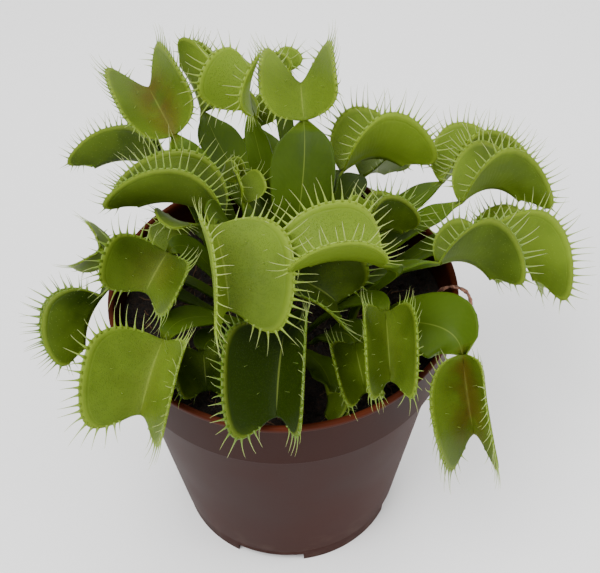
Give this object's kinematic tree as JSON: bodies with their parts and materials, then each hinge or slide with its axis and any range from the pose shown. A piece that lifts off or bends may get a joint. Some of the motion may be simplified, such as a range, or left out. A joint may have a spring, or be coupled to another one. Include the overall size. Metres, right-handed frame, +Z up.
{
  "type": "potted Venus flytrap",
  "caption": "Venus flytrap with many open and closed two-lobed traps on flat green petioles, growing in a small round brown plastic nursery pot of dark peat.",
  "frame": {"origin": "under the middle of the whole plant's bounding box, in the plane that the pot's foot ring stands on", "axes": "+Z up along the pot's axis, -Y towards the side seen in front, +X to the right of that side"},
  "size_m": [0.1346, 0.1178, 0.1352],
  "materials": {
    "pot_plastic": "brown, semi-matte, moulded",
    "peat": "dark, damp, fibrous",
    "leaf": "living leaf, yellow-green, slightly waxy",
    "dry_stalk": "dried, brown-pink"
  },
  "bodies": {
    "root": {"nursery_pot": "pot_plastic", "peat_soil": "peat", "leaf_back_left_open": "leaf", "leaf_back_left_upright": "leaf", "leaf_back_cupped": "leaf", "leaf_back_small": "leaf", "leaf_back_tall": "leaf", "leaf_back_right": "leaf", "leaf_right_pale": "leaf", "leaf_right_upper": "leaf", "leaf_right_lower": "leaf", "leaf_right_outer": "leaf", "leaf_right_inner": "leaf", "leaf_centre_bright": "leaf", "leaf_centre_shaded": "leaf", "leaf_centre_large": "leaf", "leaf_left_open": "leaf", "leaf_front_left": "leaf", "leaf_left_drooping": "leaf", "leaf_left_young": "leaf", "leaf_left_closed": "leaf", "leaf_left_upper": "leaf", "leaf_left_inner": "leaf", "leaf_left_bud": "leaf", "leaf_left_small": "leaf", "leaf_front_low_left": "leaf", "leaf_front_large": "leaf", "leaf_front_low_right": "leaf", "leaf_front_right": "leaf", "leaf_front_bud": "leaf", "leaf_right_hanging": "leaf", "leaf_centre_bud": "leaf", "leaf_rear_left": "leaf", "leaf_rear_right": "leaf", "dried_stalk": "dry_stalk"}
  },
  "joints": []
}
